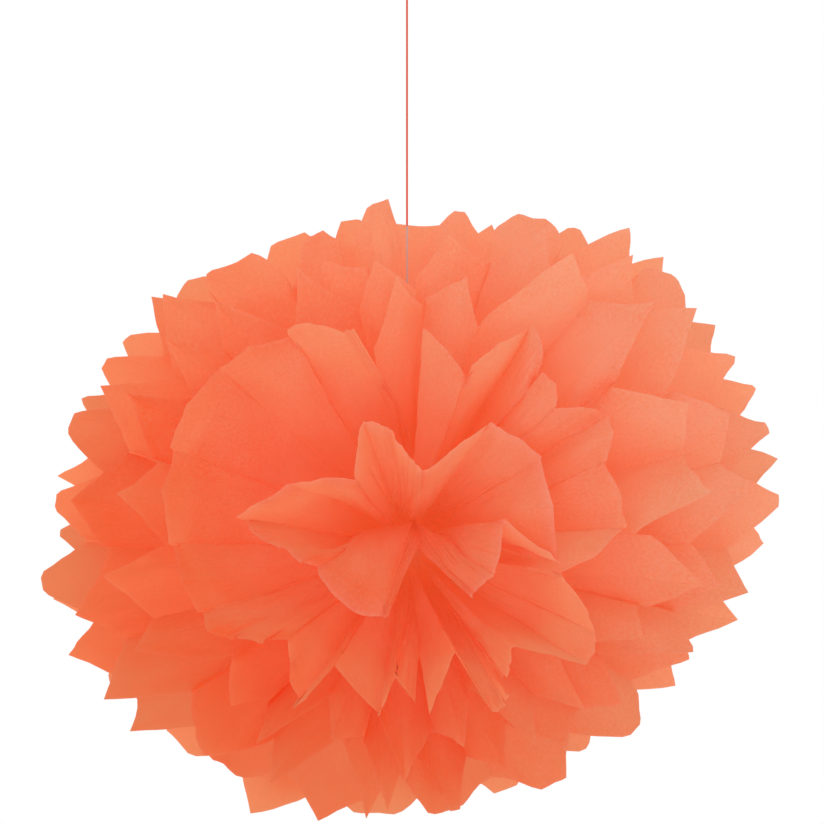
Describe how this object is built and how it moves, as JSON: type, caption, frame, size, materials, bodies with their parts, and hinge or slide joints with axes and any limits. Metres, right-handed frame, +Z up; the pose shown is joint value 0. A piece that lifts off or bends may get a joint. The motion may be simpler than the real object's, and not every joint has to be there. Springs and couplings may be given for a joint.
{
  "type": "tissue paper pom pom",
  "caption": "Hanging ball of pleated tissue paper sheets with pointed petals, gathered by a wire tie at the middle and hung on a thread with a loop",
  "frame": {"origin": "inside the top of the hanging loop, where a hook carries it", "axes": "+Z is up along the thread, +X is the ball's widest way and -Y is the flower's front"},
  "size_m": [0.3998, 0.381, 0.476],
  "materials": {
    "tissue_paper": "thin coral tissue paper, matte, lets light through",
    "tie_wire": "bare soft iron wire",
    "thread": "twisted coral sewing thread"
  },
  "bodies": {
    "root": {"tissue_sheet_01": "tissue_paper", "tissue_sheet_02": "tissue_paper", "tissue_sheet_03": "tissue_paper", "tissue_sheet_04": "tissue_paper", "tissue_sheet_05": "tissue_paper", "tissue_sheet_06": "tissue_paper", "tissue_sheet_07": "tissue_paper", "tissue_sheet_08": "tissue_paper", "tissue_sheet_09": "tissue_paper", "tissue_sheet_10": "tissue_paper", "tie_wire": "tie_wire", "hanging_thread": "thread", "thread_knot": "thread", "hanging_loop": "thread"}
  },
  "joints": []
}
